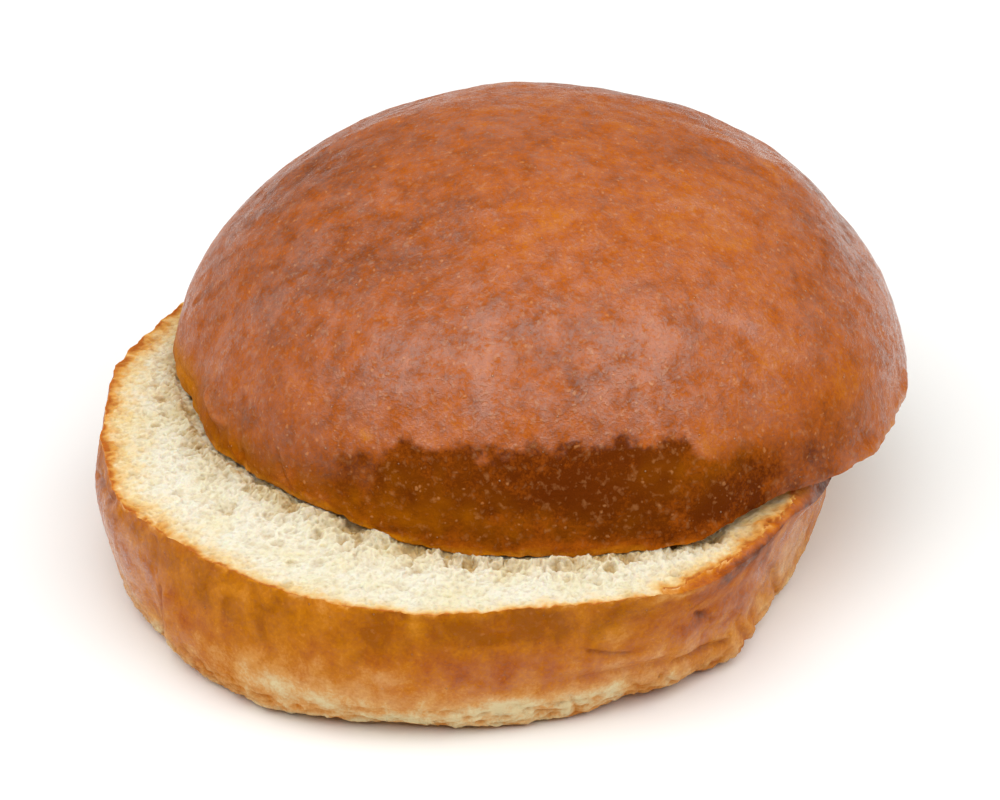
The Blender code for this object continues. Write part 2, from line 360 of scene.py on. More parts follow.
# The heel's side. Each line is a path of angles and heights, its width, and its height: below zero
# is a crease, above zero a fold
HEEL_LINES = (
    (((-140.8, 13.0), (-141.0, 9.5), (-142.5, 6.0), (-145.0, 2.0)), 0.4, -1.0),
    (((-138.9, 13.0), (-139.5, 7.0), (-142.5, 2.5)), 0.8, 0.4),
    (((-143.0, 19.5), (-142.2, 15.0)), 0.6, -0.3),
    (((-170.0, 15.0), (-165.0, 16.5), (-158.0, 18.0), (-155.0, 20.0)), 0.7, -0.8),
    (((-152.0, 19.5), (-156.0, 17.0)), 0.7, 0.4),
    (((-136.5, 5.0), (-134.0, 2.6)), 0.5, -0.4),
    (((-133.0, 4.6), (-131.0, 2.2)), 0.5, -0.3),
    (((-72.5, 13.2), (-69.0, 12.0), (-66.5, 11.4)), 0.35, -0.5),
    (((-72.5, 14.0), (-69.0, 12.9), (-66.0, 12.2)), 0.5, 0.25),
    (((-55.0, 14.6), (-53.0, 13.0), (-51.0, 11.4)), 0.5, -0.6),
    (((-77.0, 10.6), (-66.0, 10.4), (-60.5, 9.8), (-55.0, 9.0), (-46.0, 7.6), (-40.0, 5.4)), 0.6, 0.3),
    (((-74.0, 8.6), (-66.0, 8.5), (-60.0, 8.0)), 0.45, -0.35),
    (((-58.0, 7.2), (-52.0, 6.6), (-47.0, 5.6)), 0.5, -0.6),
    (((-57.0, 8.4), (-50.0, 7.4), (-45.0, 6.2)), 0.5, 0.3),
    (((-43.5, 7.0), (-42.0, 4.5), (-40.5, 2.5)), 0.6, -0.7),
    (((-46.0, 6.0), (-45.0, 4.0), (-44.5, 2.4)), 0.5, 0.3),
    (((-38.5, 6.5), (-37.5, 4.0), (-36.5, 2.0)), 0.5, -0.4),
    (((-75.0, 5.8), (-74.0, 3.5), (-73.5, 2.0)), 0.4, -0.35),
    (((-80.0, 3.2), (-76.0, 2.8)), 0.5, -0.6),
    (((-66.0, 6.5), (-63.5, 4.0), (-62.5, 2.4)), 0.5, -0.4),
    (((-60.0, 5.5), (-57.0, 3.0)), 0.5, -0.5),
    (((-118.0, 4.8), (-104.0, 5.4), (-92.0, 5.0)), 0.6, -0.2),
    (((-128.0, 8.2), (-121.0, 7.4), (-114.0, 7.6)), 0.7, -0.15),
    (((-36.0, 13.0), (-30.0, 8.0), (-27.0, 3.0)), 0.8, -0.6),
    (((-22.0, 18.0), (-16.0, 12.0), (-15.0, 6.0)), 0.7, -0.4),
    (((8.0, 16.0), (20.0, 13.0), (34.0, 14.5)), 0.6, -0.35),
    (((40.0, 6.0), (55.0, 5.0), (70.0, 6.2)), 0.6, -0.5),
    (((78.0, 15.0), (84.0, 9.0), (83.0, 4.0)), 0.6, -0.5),
    (((112.0, 8.0), (128.0, 6.5), (140.0, 7.5)), 0.7, -0.45),
    (((152.0, 14.0), (160.0, 9.0), (163.0, 4.0)), 0.5, -0.45),
)

# Blisters, swellings and hollows of the heel's side: angle and height, half sizes, and how far out
HEEL_BLISTERS = (
    ((-120.0, 18.8), 0.75, 0.7, 0.4),
    ((-131.0, 19.6), 0.4, 0.4, 0.25),
    ((-130.0, 16.1), 0.4, 0.4, 0.25),
    ((-107.0, 19.4), 0.5, 0.4, 0.2),
    ((-102.0, 19.6), 0.6, 0.4, 0.2),
    ((-97.5, 19.2), 1.0, 0.7, 0.25),
    ((-64.0, 12.6), 0.6, 0.4, 0.25),
    ((-57.0, 17.2), 0.8, 0.5, 0.3),
    ((-34.0, 18.5), 0.8, 0.6, 0.3),
)
HEEL_SWELLINGS = (
    ((-165.0, 15.0), 8.0, 5.0, 0.9),
    ((-150.0, 7.0), 8.0, 5.0, -0.7),
    ((-119.0, 2.5), 7.0, 2.5, 0.6),
    ((-101.0, 2.0), 7.5, 2.6, -0.9),
    ((-90.0, 2.0), 3.5, 2.5, 0.4),
    ((-71.0, 2.5), 4.0, 2.0, -0.4),
    ((-57.0, 3.5), 4.0, 2.5, 0.5),
    ((-42.0, 3.5), 4.0, 2.6, 1.3),
    ((-29.0, 12.0), 9.0, 7.0, -1.1),
    ((166.0, 19.0), 8.0, 4.0, 0.9),
    ((-178.0, 17.0), 6.0, 4.0, -0.3),
)

# How brown the heel's side is by its height, 0 pale and 1 deepest, at the front and elsewhere
HEEL_FRONT_BAKE = (
    (0.0, 0.34),
    (1.6, 0.14),
    (3.6, 0.14),
    (6.0, 0.27),
    (9.0, 0.46),
    (13.0, 0.58),
    (21.0, 0.60),
)
HEEL_SIDE_BAKE = ((0.0, 0.50), (2.0, 0.42), (5.0, 0.50), (9.0, 0.62), (16.0, 0.70), (21.0, 0.62))
HEEL_FRONT_MIDDLE = -98.0
HEEL_FRONT_WIDTH = 36.0

# Spots on the heel's side that are browner, above zero, or paler: place, half sizes, change
HEEL_TONES = (
    ((-122.0, 3.2), 12.0, 2.2, 0.10),
    ((-121.0, 8.0), 6.0, 3.2, -0.22),
    ((-116.0, 6.0), 8.0, 2.4, -0.08),
    ((-57.0, 10.0), 12.0, 4.0, 0.08),
    ((-88.0, 11.0), 10.0, 4.4, 0.12),
    ((-100.0, 13.5), 6.0, 3.0, 0.04),
    ((-84.0, 18.2), 9.0, 2.4, 0.20),
    ((-103.0, 18.2), 4.5, 2.2, 0.18),
    ((-98.0, 19.2), 1.0, 2.2, -0.22),
    ((-84.0, 5.5), 4.0, 1.4, -0.20),
    ((-75.0, 4.5), 3.5, 1.6, -0.24),
    ((-67.5, 4.8), 2.2, 2.0, -0.30),
    ((-58.5, 4.8), 1.4, 2.0, -0.30),
    ((-69.0, 15.5), 3.0, 2.0, -0.14),
    ((-66.0, 19.5), 3.0, 1.4, 0.10),
    ((-60.0, 20.4), 5.0, 0.6, -0.28),
    ((-62.0, 9.8), 8.0, 1.6, -0.10),
    ((-54.0, 13.0), 1.6, 1.2, 0.12),
    ((-46.0, 4.5), 3.6, 1.6, 0.10),
    ((-39.5, 15.5), 1.8, 2.8, 0.26),
    ((-45.0, 12.0), 1.6, 2.6, 0.12),
    ((-31.0, 14.0), 1.2, 4.0, 0.14),
    ((-36.0, 20.6), 1.6, 1.0, 0.2),
    ((-27.0, 20.8), 2.4, 1.4, 0.12),
    ((-33.0, 18.5), 1.4, 1.6, -0.14),
    ((-160.0, 3.0), 8.0, 1.8, -0.10),
    ((-24.0, 10.0), 12.0, 8.0, -0.18),
    ((-105.0, 15.0), 1.6, 3.0, 0.08),
    ((-112.0, 18.0), 2.0, 1.6, -0.10),
    ((-126.0, 19.0), 2.4, 1.2, -0.08),
    ((-80.0, 15.0), 3.0, 1.4, -0.08),
)
HEEL_GOLDS = (
    ((-164.0, 17.5), 8.0, 2.6, 0.9),
    ((-148.0, 18.5), 5.0, 2.0, 0.5),
    ((-134.0, 17.5), 9.0, 3.6, 1.1),
    ((-121.0, 17.0), 6.0, 4.5, 1.2),
    ((-121.0, 11.0), 5.0, 3.0, 0.45),
    ((-107.0, 13.0), 1.8, 3.0, 0.8),
    ((-110.5, 10.6), 1.8, 1.2, 0.8),
    ((-103.0, 18.0), 5.0, 3.0, 1.3),
    ((-87.0, 18.2), 7.5, 3.0, 1.4),
    ((-77.0, 18.2), 4.0, 2.6, 1.1),
    ((-70.0, 15.8), 3.0, 2.6, 0.9),
    ((-66.0, 19.4), 3.6, 1.6, 1.0),
    ((-143.0, 5.0), 4.0, 1.6, 0.7),
    ((-47.0, 5.0), 6.0, 2.0, 0.8),
    ((-36.0, 18.5), 4.0, 1.8, 0.4),
    ((-31.0, 8.0), 3.0, 4.0, 0.6),
)

# Where the heel's side has a thicker glaze, and shines, with more of the painted pinkish sheen in its colour
HEEL_GLAZES = (
    ((-163.0, 9.0), 14.0, 7.0, 1.0),
    ((-66.0, 9.0), 7.0, 4.0, 0.15),
    ((-148.0, 12.0), 6.0, 7.0, 0.4),
    ((-136.0, 6.0), 2.5, 2.5, 0.4),
    ((-24.0, 12.0), 12.0, 8.0, 0.8),
    ((-39.5, 15.5), 2.5, 3.5, 0.3),
    ((-88.0, 9.0), 22.0, 4.5, 0.3),
    ((-50.0, 9.0), 10.0, 5.0, 0.3),
)

# How far the crust comes in over the cut face at the right, by angle, where the knife ran out
SHOULDER = (
    (-62.0, 0.0),
    (-50.0, 0.8),
    (-40.0, 1.7),
    (-30.0, 2.4),
    (-22.0, 4.0),
    (2.0, 4.0),
    (28.0, 0.0),
)
# How far the edge drops there, and how widely it is rounded, for each millimetre of that reach
SHOULDER_DROP = 0.46
SHOULDER_BEND = 0.8

# Holes in the heel's crumb, by place: half sizes and depth
CRUMB_HOLES = (
    ((31.8, -33.6), 1.6, 1.1, -1.8),
    ((26.6, -42.0), 0.6, 0.5, -1.0),
    ((12.4, -41.0), 1.8, 0.7, -0.6),
    ((5.0, -40.6), 1.4, 0.8, -0.5),
    ((-1.2, -39.8), 1.6, 0.9, -0.6),
    ((-7.0, -36.8), 2.6, 1.2, -1.1),
    ((-15.5, -32.6), 2.0, 1.2, -1.0),
    ((-24.0, -27.0), 2.2, 1.4, -0.9),
    ((-33.5, -26.5), 1.0, 1.4, -0.7),
    ((-9.0, -44.8), 0.9, 1.2, -0.5),
    ((20.5, -38.6), 1.8, 0.8, -0.9),
)

# The crown's side, laid flat in the same way, with heights above its cut
CROWN_SIDE_LINES = (
    (((-176.0, 1.0), (-170.0, 3.2), (-161.0, 3.4)), 0.7, -0.3),
    (((-156.0, 5.4), (-152.0, 4.2), (-148.0, 4.6)), 0.6, 0.45),
    (((-154.0, 3.8), (-150.0, 2.2)), 0.7, -0.5),
    (((-147.0, 6.0), (-146.0, 3.0), (-143.6, 0.8)), 0.5, 0.45),
    (((-145.0, 7.4), (-144.0, 4.6)), 0.4, -0.3),
    (((-142.6, 2.4), (-142.0, 0.0)), 0.5, -0.5),
    (((-134.6, 6.0), (-133.0, 3.6), (-131.0, 1.4)), 0.35, -0.4),
    (((-133.4, 6.2), (-131.6, 3.6), (-129.8, 1.2)), 0.35, 0.25),
    (((-112.0, 11.8), (-108.0, 13.2), (-105.0, 11.6), (-104.6, 9.0)), 0.4, 0.12),
    (((-92.0, 12.6), (-90.0, 10.6), (-90.4, 7.4)), 0.4, 0.12),
    (((-62.0, 10.0), (-58.0, 7.4), (-55.0, 6.0)), 0.8, -0.2),
    (((-19.0, 2.0), (-15.0, 1.0), (-11.0, 2.4)), 0.9, 0.5),
    (((-33.0, 4.2), (-30.0, 2.0)), 0.8, -0.3),
    (((-172.6, 12.0), (-171.4, 13.6)), 0.3, -0.5),
    (((30.0, 3.0), (48.0, 2.2), (62.0, 3.4)), 0.8, -0.4),
    (((96.0, 4.0), (112.0, 2.6), (124.0, 4.2)), 0.8, -0.4),
    (((150.0, 6.0), (158.0, 3.4), (168.0, 3.0)), 0.7, -0.35),
)

# The crown's top, by place to the right of and behind its own middle
CROWN_TOP_LINES = (
    (((-37.0, 8.0), (-30.0, 13.0), (-21.0, 12.5)), 1.2, 0.3),
    (((-35.0, 5.0), (-28.0, 9.5), (-20.0, 9.5)), 1.4, -0.25),
    (((-24.0, -19.0), (-14.0, -24.0), (-6.0, -20.0)), 2.6, -0.2),
    (((16.0, -28.6), (23.0, -29.8), (31.0, -28.4)), 0.9, 0.16),
    (((16.0, -31.4), (24.0, -32.2)), 0.9, -0.12),
    (((14.0, -14.0), (24.0, -16.0), (34.0, -14.0)), 1.2, -0.16),
    (((18.0, -11.6), (26.0, -10.6)), 0.8, 0.14),
    (((6.0, -8.0), (18.0, -7.0), (30.0, -9.5)), 1.4, 0.18),
    (((20.0, 3.0), (31.0, 2.0), (38.0, -2.0)), 1.1, -0.2),
    (((24.0, 8.0), (33.0, 7.0), (40.0, 4.0)), 1.2, 0.2),
    (((8.0, 16.0), (18.0, 14.0), (28.0, 15.0)), 1.4, -0.2),
    (((-6.0, 8.0), (4.0, 5.0), (12.0, 6.0)), 2.0, 0.18),
    (((-10.0, 30.0), (4.0, 34.0), (18.0, 31.0)), 1.8, -0.25),
    (((-26.0, 24.0), (-18.0, 32.0)), 1.6, 0.25),
    (((24.0, 28.0), (34.0, 22.0)), 1.6, 0.2),
)
CROWN_SWELLINGS = (
    ((-38.0, 8.0), 14.0, 12.0, -0.45),
    ((-20.0, 22.0), 10.0, 8.0, -0.4),
    ((-6.0, 27.0), 7.0, 6.0, 0.5),
    ((16.0, 24.0), 9.0, 7.0, -0.25),
    ((46.0, 6.0), 9.0, 16.0, -1.0),
    ((-45.0, 0.0), 8.0, 12.0, -0.4),
)

# How far the crown's rim stands off its cut, by angle
CROWN_LIFT = (
    (-150.0, 0.0),
    (-143.0, 0.5),
    (-133.0, 1.2),
    (-123.0, 1.6),
    (-116.0, 1.1),
    (-109.0, 0.4),
    (-100.0, 0.0),
    (-58.0, 0.0),
    (-45.0, 0.35),
    (-34.0, 0.4),
    (-25.0, 0.0),
)

# The crown's tones on its side and on its top
CROWN_SIDE_TONES = (
    ((-104.0, 8.0), 9.0, 3.6, 0.06),
    ((-84.0, 9.0), 7.0, 3.6, 0.07),
    ((-73.0, 9.6), 5.0, 2.4, 0.05),
    ((-66.0, 10.4), 4.0, 2.4, -0.07),
    ((-94.0, 4.4), 12.0, 1.4, -0.06),
    ((-50.0, 5.0), 14.0, 5.0, 0.15),
    ((-138.0, 7.0), 13.0, 6.0, 0.06),
    ((-92.0, 1.6), 20.0, 0.9, -0.10),
    ((-118.5, 12.7), 1.2, 0.5, -0.25),
    ((-33.0, 11.0), 6.0, 5.0, -0.08),
    ((-168.0, 2.4), 9.0, 3.4, -0.26),
    ((-64.0, 4.6), 2.6, 1.6, 0.12),
)
CROWN_SIDE_GOLDS = (
    ((-108.0, 7.0), 10.0, 5.0, 0.45),
    ((-66.0, 9.5), 10.0, 3.0, 0.5),
    ((-92.0, 4.0), 16.0, 2.0, 0.5),
    ((-130.0, 3.0), 22.0, 3.0, 0.8),
    ((-168.0, 2.4), 9.0, 3.4, 0.9),
    ((-150.0, 2.6), 6.0, 3.0, 0.9),
    ((-118.5, 12.7), 1.2, 0.5, 0.8),
    ((-34.0, 11.0), 7.0, 5.0, 0.3),
)
CROWN_TOP_TONES = (
    ((-20.0, -20.0), 11.0, 8.0, 0.10),
    ((-28.0, 4.0), 12.0, 10.0, 0.07),
    ((-34.0, -16.0), 8.0, 9.0, 0.04),
    ((-4.0, -22.0), 7.0, 6.0, -0.06),
    ((0.0, 12.0), 20.0, 8.0, -0.04),
    ((26.0, -14.0), 14.0, 8.0, -0.05),
    ((-2.0, -40.0), 19.0, 9.0, 0.05),
    ((-20.0, -36.0), 8.0, 4.0, 0.08),
    ((14.0, -38.0), 5.0, 3.0, -0.03),
    ((38.0, -22.0), 5.0, 6.0, 0.05),
)

# Where the crown's glaze lies thicker, and shines, with more of the painted pinkish sheen in its colour
CROWN_GLAZES = (
    ((-8.0, -39.0), 2.2, 7.0, 0.5),
    ((0.0, -45.0), 20.0, 2.0, 0.10),
    ((-1.0, -35.0), 4.0, 3.0, 0.2),
    ((15.0, -34.5), 3.4, 2.0, 0.8),
    ((12.0, -39.5), 6.0, 4.0, 0.4),
    ((-18.0, -20.0), 9.0, 8.0, 0.1),
    ((36.0, 14.0), 10.0, 8.0, 0.3),
    ((-19.0, -38.5), 8.0, 4.5, 0.3),
    ((24.0, -29.6), 6.0, 1.2, 0.35),
    ((30.0, -36.0), 6.0, 2.4, 0.2),
    ((-31.5, -16.0), 2.5, 4.0, 0.5),
    ((-38.5, -20.0), 4.0, 3.5, 0.35),
    ((-26.0, -9.0), 4.0, 3.0, 0.25),
    ((-7.0, 3.0), 8.0, 3.5, 0.35),
    ((4.0, -9.0), 5.0, 4.0, 0.25),
    ((20.0, -12.5), 6.0, 1.8, 0.4),
    ((27.0, -6.5), 5.0, 1.5, 0.35),
    ((-28.0, 12.0), 8.0, 2.0, 0.3),
    ((47.0, -3.0), 5.0, 14.0, 0.6),
)
CROWN_GLAZE = 0.46
CROWN_DULL_SPOTS = (
    ((-168.0, 2.0), 13.0, 4.5, 1.0),
    ((-146.0, 1.5), 10.0, 3.0, 0.8),
    ((-128.0, 2.0), 14.0, 4.5, 0.7),
    ((-52.0, 6.0), 14.0, 6.0, 0.9),
    ((-34.0, 13.0), 12.0, 7.0, 0.7),
)
# The dull front: the angle of its middle, where it fades to the sides, its height above the cut,
# and how far its upper edge falls at its ends
DULL_FRONT = -90.5
DULL_REACH = (25.0, 43.0)
DULL_TOP = 13.6
DULL_FALL = 5.0


def profile(values, steps):
    """A value by height or by angle, by straight runs between the steps."""
    levels, results = zip(*steps)
    return np.interp(values, levels, results)


def bent(points, size, reach, seed):
    """The points moved a little by smooth noise, so that what is built on them comes out uneven."""
    moves = [noise_at(points, size, seed + axis * 7.0) for axis in range(3)]
    return points + reach * np.column_stack(moves)


def crumb_relief(points, rim, torn, seed):
    """How far the crumb is pushed out, and how deep each point lies between its tufts, 0 to 1, which
    the crumb takes as painted shade. It is torn where the crown was pulled off, and smoother where the
    knife went, next to the crust."""
    settings = bpy.context.scene.bun_crumb
    inside = blend_step(0.1, 1.4, rim)
    places = bent(points, 1.7, 0.6, seed)
    clusters = blend_step(-0.1, 0.35, noise_at(points, 6.0, seed + 2.0, 2))
    large = pores_at(places, settings.large_pore / MM, 0.36, seed) * (0.35 + 0.65 * clusters)
    small = pores_at(places, settings.small_pore / MM, 0.40, seed + 5.0)
    domes = pores_at(places, settings.tuft / MM, 0.66, seed + 8.0) - 0.6
    heaps = noise_at(points, 3.4, seed + 9.0, 4)
    films = 0.3 - 1.2 * np.abs(noise_at(points, 1.0, seed + 15.0, 2))
    threads = noise_at(points, 0.6, seed + 13.0, 2)
    depth = settings.pore_depth / MM
    pushed = heaps * (0.12 + 0.26 * torn) + domes * (0.14 + 0.12 * torn)
    pushed += films * (0.07 + 0.36 * torn) + threads * (0.10 + 0.20 * torn)
    pushed -= depth * (0.35 + 1.0 * torn) * large + 0.28 * depth * small
    # Painted shade, deepest in the large and small pores, between the tufts and in torn hollows
    deep = 0.42 * large + 0.22 * small + 0.5 * np.clip(-0.3 - domes, 0.0, 1.0)
    deep += torn * np.clip(0.25 - pushed, 0.0, 1.2) * 0.55
    return pushed * inside, np.clip(deep, 0.0, 1.0) * inside


def toast(points, rim, reach, seed):
    """How toasted the crumb is, 1 at the crust."""
    uneven = 1.0 + 0.45 * noise_at(points, 4.0, seed, 2) + 0.45 * noise_at(points, 0.9, seed + 3.0, 2)
    broken = 0.88 + 0.3 * noise_at(points, 2.2, seed + 5.0, 2) + 0.25 * noise_at(points, 0.7, seed + 7.0)
    return np.exp(-rim / (reach * np.maximum(uneven, 0.25))) * np.clip(broken, 0.5, 1.0)


class BUN_OT_heel(bpy.types.Operator):
    """Add the heel, the lower half of the bun, with its cut face up"""

    bl_idname = "bun.heel"
    bl_label = "Heel"

    def execute(self, context):
        mesh = even_copy(
            "heel",
            lambda face: face.normal.z > 0.7
            and face.calc_center_median().z > (HEEL_TOP - 3.0) * MM,
        )
        middle = Vector(CROWN_MIDDLE)

        def shows(face, centre):
            """Crumb in the open crescent, and the front of the crust."""
            if face.material_index == CRUMB:
                return (centre.xy - middle).length > BUN_RADIUS - 2.5
            turn = (math.degrees(math.atan2(centre.y, centre.x)) - FRONT + 180.0) % 360.0 - 180.0
            return -90.0 < turn < 85.0 and centre.z > 0.2

        def shows_inside(face, centre):
            """The same crumb, but for its edge by the crust."""
            if face.material_index != CRUMB or (centre.xy - middle).length < BUN_RADIUS - 2.0:
                return False
            return centre.xy.length < BUN_RADIUS - 1.6

        def under_crust(face, centre):
            """The part of the cut face that the crust comes in over, at the right."""
            angle = math.degrees(math.atan2(centre.y, centre.x))
            reach = profile(angle, SHOULDER)
            ragged = 0.6 * noise.noise(centre / 0.9) + 0.6 * noise.noise(centre / 2.8)
            return reach > 0.0 and centre.xy.length > BUN_RADIUS - reach - ragged * min(reach, 1.3)

        divide(mesh, shows)
        divide(mesh, shows_inside)
        take_as_crust(mesh, under_crust)
        points, normals = points_of(mesh), normals_of(mesh)
        rim = distance_from_rim(mesh, points)
        is_crumb, is_crust = corners_with(mesh, CRUMB), corners_with(mesh, CRUST)
        edge, inner, skin = is_crumb & is_crust, is_crumb & ~is_crust, is_crust & ~is_crumb
        flat = unrolled(points)
        high = points[:, 2]
        angles = np.degrees(np.arctan2(points[:, 1], points[:, 0]))
        on_table = high < 0.05

        # The crumb is torn and pitted beside the crown, away millimetres off its rim, and rises
        # only as far as the crown above it leaves room
        away = np.hypot(points[:, 0] - CROWN_MIDDLE[0], points[:, 1] - CROWN_MIDDLE[1]) - BUN_RADIUS
        torn = bump(away - 0.5, 5.5) * blend_step(1.5, 7.0, rim)
        crumb_push, pore = np.zeros(len(points)), np.zeros(len(points))
        crumb_push[inner], pore[inner] = crumb_relief(points[inner], rim[inner], torn[inner], 3.0)
        holes = patches(points[:, :2], CRUMB_HOLES) * (1.0 + 0.5 * noise_at(points, 0.9, 19.0, 2))
        crumb_push += np.where(inner, holes, 0.0)
        # Painted shade: the holes are darkened, and the crumb under the crown's rim gets a painted shadow of
        # the crown, deeper and wider at the right
        shade_at_right = bump(turns_from(points, -40.0, CROWN_MIDDLE), 18.0)
        crown_shade = (0.45 + 0.4 * shade_at_right) * bump(away - 0.2, 2.0 + 0.8 * shade_at_right)
        pore = pore - 0.5 * np.where(inner, holes, 0.0) + crown_shade
        pore = np.clip(pore * blend_step(0.3, 1.5, rim), 0.0, 1.0)
        raised = profile(turns_from(points, 0.0, CROWN_MIDDLE), CROWN_LIFT) * bump(away, 3.0)
        room = 0.24 + 0.95 * raised + np.maximum(away - 0.05, 0.0) * 1.6
        crumb_push = np.minimum(crumb_push + 0.95 * raised + 0.55 * bump(away - 0.4, 1.0), room)

        # The side has folds and blisters, and is crumpled in layers near the foot
        relief = lines_relief(flat, HEEL_LINES, on_side)
        relief += patches(flat, HEEL_BLISTERS, on_side)
        low = 1.0 - blend_step(2.5, 7.5, high)
        layers = noise_at(points * (0.35, 0.35, 1.0), 1.1, 25.0, 2)
        relief += low * (0.25 - 0.9 * np.abs(layers))
        relief += noise_at(points, 2.6, 21.0, 3) * (0.10 + 0.12 * low)
        relief += noise_at(points, 0.9, 23.0, 2) * (0.05 + 0.05 * low)
        relief *= blend_step(0.0, 1.2, high)
        form = patches(flat, HEEL_SWELLINGS, on_side)
        moved = points + normals * np.where(skin, relief + form, 0.0)[:, None]
        moved[:, 2] += np.where(inner, crumb_push, 0.0)
        sideways = bent(points[inner], 1.1, 0.5, 61.0) - points[inner]
        moved[inner, :2] += (sideways * (torn * blend_step(0.5, 2.0, rim))[inner, None])[:, :2]

        # The rim wavers, in a band that fades out on both sides of it
        outward = points[:, :2] / np.maximum(np.hypot(points[:, 0], points[:, 1]), 1.0)[:, None]
        moved[edge, :2] += outward[edge] * (np.minimum(relief, 0.0) + form)[edge, None]
        near = rim < RIM_BAND
        hold = bump(rim[near], RIM_HOLD)
        wander = noise_at(points[near], 3.6, 27.0, 2) * 0.4 + noise_at(points[near], 0.9, 28.0) * 0.2
        moved[near, :2] += outward[near] * (wander * hold)[:, None]
        moved[near, 2] += noise_at(points[near], 2.6, 29.0, 3) * 0.3 * hold

        # At the right the crust rolls in over the cut, so the edge there drops and is rounded
        reach = profile(angles, SHOULDER)
        radii = np.hypot(points[:, 0], points[:, 1])
        over = blend_step(0.0, 1.0, (radii - BUN_RADIUS + reach) / np.maximum(reach, 0.1))
        over *= blend_step(HEEL_TOP - 8.0, HEEL_TOP, high)
        moved[:, 2] -= SHOULDER_DROP * reach * over
        bend = np.maximum(SHOULDER_BEND * reach, 0.01)
        across = np.clip((radii - BUN_RADIUS) / bend + 1.0, 0.0, 1.0)
        up = np.clip((high - HEEL_TOP) / bend + 1.0, 0.0, 1.0)
        rounded = 1.0 - np.maximum(across, up) / np.maximum(np.hypot(across, up), 0.01)
        moved[:, :2] -= outward * (bend * across * rounded)[:, None]
        moved[:, 2] -= bend * up * rounded
        moved[:, 2] = np.where(on_table, 0.0, np.maximum(moved[:, 2], 0.05))
        move_points(mesh, moved)

        # How brown, how golden and how glossy each corner is
        level = high + 1.3 * noise_at(points, 11.0, 31.0, 3) + 0.9 * noise_at(points, 2.6, 33.0, 3)
        front = bump(turns_from(points, HEEL_FRONT_MIDDLE), HEEL_FRONT_WIDTH)
        bake = front * profile(level, HEEL_FRONT_BAKE) + (1.0 - front) * profile(level, HEEL_SIDE_BAKE)
        spotted = bent(points, 2.2, 0.9, 65.0)
        spots = unrolled(spotted)
        bake += patches(spots, HEEL_TONES, on_side)
        # Painted shade in the side's creases, and painted light on its folds and blisters
        bake += (0.12 + 0.26 * low) * np.clip(-relief, -0.5, 1.0)
        bake -= 0.30 * bump(rim, 0.45) * blend_step(0.0, 0.4, noise_at(points, 1.6, 67.0, 2))
        rolled = over * np.minimum(reach, 1.0)
        bake += 0.36 * rolled * blend_step(0.0, 0.6, rim)
        bake = np.where(on_table, 0.55, bake)
        gold = patches(spots, HEEL_GOLDS, on_side) * (0.8 + 0.5 * noise_at(points, 2.0, 35.0, 2))
        gold += 0.5 * bump(turns_from(points, -105.0), 48.0) * bump(high - 19.0, 4.5)
        gold *= 1.0 - 0.7 * rolled
        glaze = 0.05 + patches(flat, HEEL_GLAZES, on_side) + 0.12 * (1.0 - front) + 0.2 * rolled
        narrow = 1.4 - 0.9 * bump(turns_from(points, -90.0), 40.0)
        toasted = toast(points, rim, context.scene.bun_crumb.toast_width / MM * narrow, 37.0)
        gold = np.clip(gold, 0.0, 1.0)
        keep_values(mesh, bake=bake, gold=gold, glaze=glaze, pore=pore, toast=toasted)
        add_piece("heel_bread", mesh, (side_crust(), soft_crumb()), "heel")
        return {"FINISHED"}


